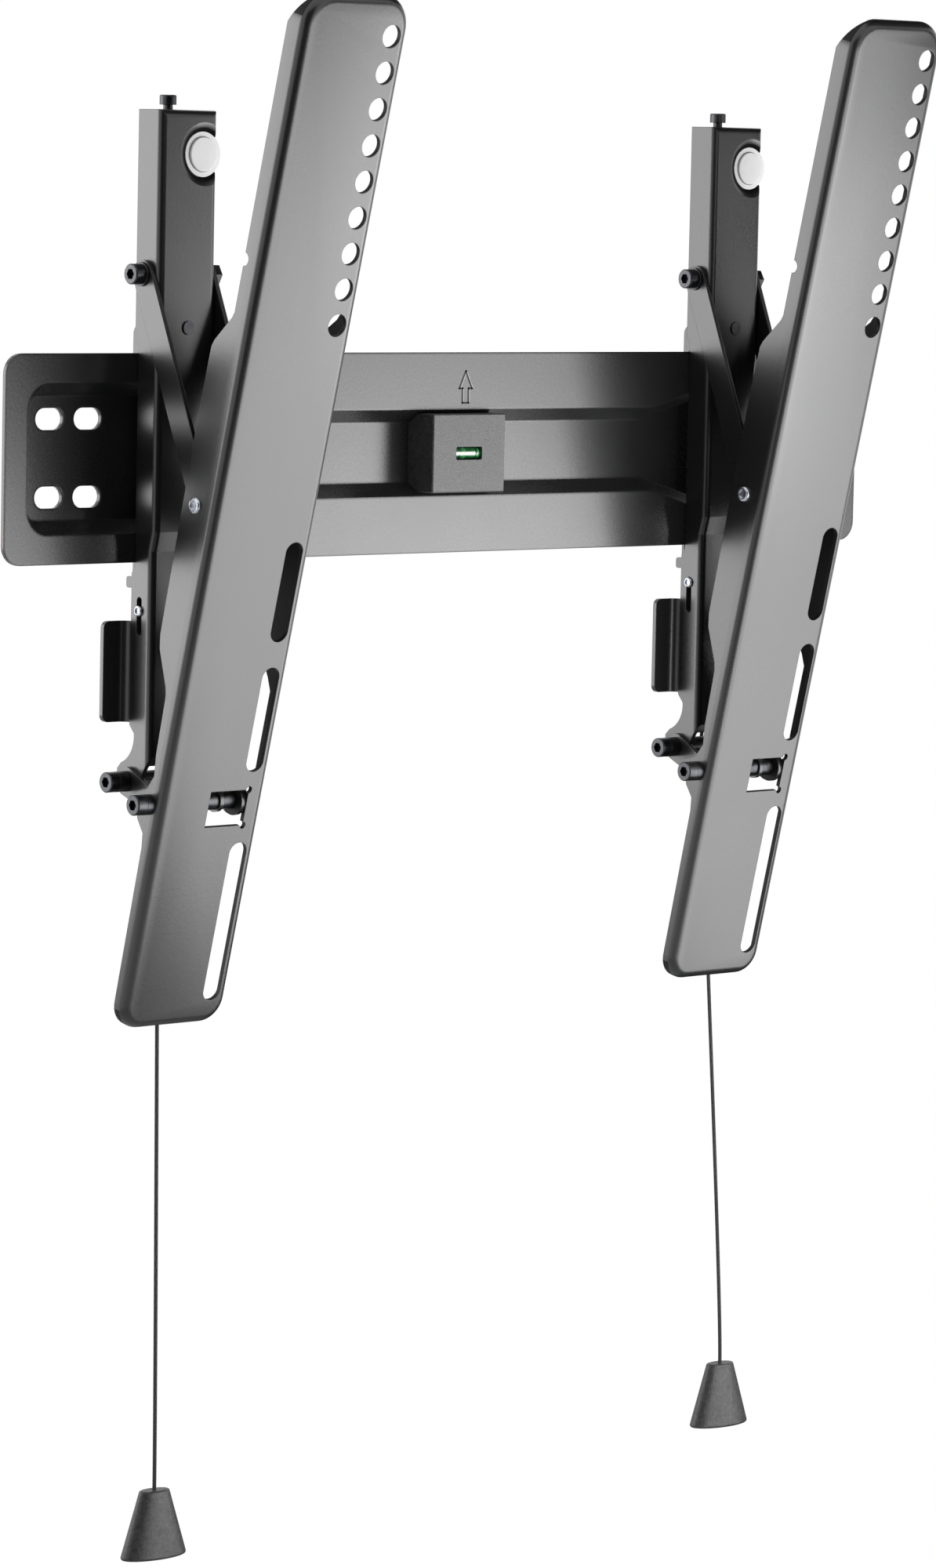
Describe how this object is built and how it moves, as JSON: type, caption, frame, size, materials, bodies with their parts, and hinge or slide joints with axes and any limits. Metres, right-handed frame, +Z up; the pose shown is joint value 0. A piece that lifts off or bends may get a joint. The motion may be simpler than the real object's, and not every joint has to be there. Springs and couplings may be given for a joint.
{
  "type": "tilting television wall bracket",
  "caption": "Wall plate with hooked uprights that tilt slotted television arms on short links, each locked by a sprung catch with a pull cord.",
  "frame": {"origin": "centre of the wall screw pattern, on the wall's surface", "axes": "+Y into the wall, -Y out towards the viewer, +X to the viewer's right, +Z up"},
  "size_m": [0.494, 0.1195, 0.652],
  "materials": {
    "black_coat": "satin black powder coat on steel",
    "black_oxide": "black oxide steel",
    "zinc": "bright zinc plate",
    "spring_steel": "drawn spring wire",
    "grey_plastic": "fine moulded texture",
    "white_nylon": "moulded nylon",
    "green_vial": "tinted clear vial",
    "braided_cord": "black braided cord"
  },
  "bodies": {
    "plate": {"wall_plate": "black_coat", "level_housing": "grey_plastic", "level_vial": "green_vial"},
    "left_hanger_set": {"left_hanger": "black_coat", "left_height_screw": "black_oxide"},
    "left_bracket_set": {"left_bracket": "black_coat", "left_height_nut": "black_oxide", "left_hanger_rivet": "black_oxide", "left_bumper_disc": "white_nylon", "left_upper_pivot_bolt": "black_oxide", "left_upper_pivot_washer": "black_oxide", "left_lower_pivot_bolt": "black_oxide", "left_lower_pivot_sleeve": "black_oxide", "left_pivot_nuts": "black_oxide", "left_pivot_spacers": "black_oxide", "left_latch_spring": "spring_steel"},
    "left_upper_links": {"left_upper_link_left": "black_coat", "left_upper_link_right": "black_coat"},
    "left_lower_links": {"left_lower_link_left": "black_coat", "left_lower_link_right": "black_coat"},
    "left_arm_set": {"left_arm": "black_coat", "left_arm_pivot_bolt": "black_oxide", "left_arm_pivot_spacers": "black_oxide", "left_arm_pivot_nut": "black_oxide", "left_tilt_rivet_left": "zinc", "left_tilt_rivet_right": "zinc", "left_tilt_spacer": "black_oxide"},
    "left_latch": {"left_latch_slider": "black_coat", "left_latch_rivet": "zinc", "left_pull_cord": "braided_cord", "left_pull_handle": "grey_plastic"},
    "right_hanger_set": {"right_hanger": "black_coat", "right_height_screw": "black_oxide"},
    "right_bracket_set": {"right_bracket": "black_coat", "right_height_nut": "black_oxide", "right_hanger_rivet": "black_oxide", "right_bumper_disc": "white_nylon", "right_upper_pivot_bolt": "black_oxide", "right_upper_pivot_washer": "black_oxide", "right_lower_pivot_bolt": "black_oxide", "right_lower_pivot_sleeve": "black_oxide", "right_pivot_nuts": "black_oxide", "right_pivot_spacers": "black_oxide", "right_latch_spring": "spring_steel"},
    "right_upper_links": {"right_upper_link_left": "black_coat", "right_upper_link_right": "black_coat"},
    "right_lower_links": {"right_lower_link_left": "black_coat", "right_lower_link_right": "black_coat"},
    "right_arm_set": {"right_arm": "black_coat", "right_arm_pivot_bolt": "black_oxide", "right_arm_pivot_spacers": "black_oxide", "right_arm_pivot_nut": "black_oxide", "right_tilt_rivet_left": "zinc", "right_tilt_rivet_right": "zinc", "right_tilt_spacer": "black_oxide"},
    "right_latch": {"right_latch_slider": "black_coat", "right_latch_rivet": "zinc", "right_pull_cord": "braided_cord", "right_pull_handle": "grey_plastic"}
  },
  "joints": [
    {"name": "left_side_slide", "type": "slide", "parent": "plate", "child": "left_hanger_set", "axis": [1, 0, 0], "range_m": [-0.0635, 0.0365]},
    {"name": "left_height_slide", "type": "slide", "parent": "left_hanger_set", "child": "left_bracket_set", "axis": [0, 0, 1], "range_m": [-0.004, 0.0018]},
    {"name": "left_tilt", "type": "hinge", "parent": "left_bracket_set", "child": "left_upper_links", "pos_m": [-0.16335, -0.0144, 0.0754], "axis": [-1, 0, 0], "range_deg": [-20, 1.2]},
    {"name": "left_arm_pivot", "type": "hinge", "parent": "left_upper_links", "child": "left_arm_set", "pos_m": [-0.16335, -0.05369, -0.01721], "axis": [1, 0, 0], "range_deg": [-30.1, 2.28]},
    {"name": "left_lower_pivot", "type": "hinge", "parent": "left_bracket_set", "child": "left_lower_links", "pos_m": [-0.16335, -0.009, -0.1334], "axis": [-1, 0, 0], "range_deg": [-52.9, 3.64]},
    {"name": "left_latch_slide", "type": "slide", "parent": "left_bracket_set", "child": "left_latch", "axis": [0, 0, -1], "range_m": [0, 0.008], "stiffness_N_per_m": 300, "springref_m": -0.006, "deforming": ["left_latch_spring"]},
    {"name": "right_side_slide", "type": "slide", "parent": "plate", "child": "right_hanger_set", "axis": [1, 0, 0], "range_m": [-0.081, 0.019]},
    {"name": "right_height_slide", "type": "slide", "parent": "right_hanger_set", "child": "right_bracket_set", "axis": [0, 0, 1], "range_m": [-0.004, 0.0018]},
    {"name": "right_tilt", "type": "hinge", "parent": "right_bracket_set", "child": "right_upper_links", "pos_m": [0.15415, -0.0144, 0.0754], "axis": [-1, 0, 0], "range_deg": [-18.5, 2.7]},
    {"name": "right_arm_pivot", "type": "hinge", "parent": "right_upper_links", "child": "right_arm_set", "pos_m": [0.15415, -0.05128, -0.0182], "axis": [1, 0, 0], "range_deg": [-27.88, 4.5]},
    {"name": "right_lower_pivot", "type": "hinge", "parent": "right_bracket_set", "child": "right_lower_links", "pos_m": [0.15415, -0.009, -0.1334], "axis": [-1, 0, 0], "range_deg": [-48.97, 7.57]},
    {"name": "right_latch_slide", "type": "slide", "parent": "right_bracket_set", "child": "right_latch", "axis": [0, 0, -1], "range_m": [0, 0.0112], "stiffness_N_per_m": 300, "springref_m": -0.006, "deforming": ["right_latch_spring"]}
  ],
  "couplings": [
    {"joint": "left_arm_pivot", "follows": "left_tilt", "ratio": 1.48},
    {"joint": "left_lower_pivot", "follows": "left_tilt", "ratio": 2.62},
    {"joint": "right_arm_pivot", "follows": "right_tilt", "ratio": 1.48},
    {"joint": "right_lower_pivot", "follows": "right_tilt", "ratio": 2.62}
  ]
}
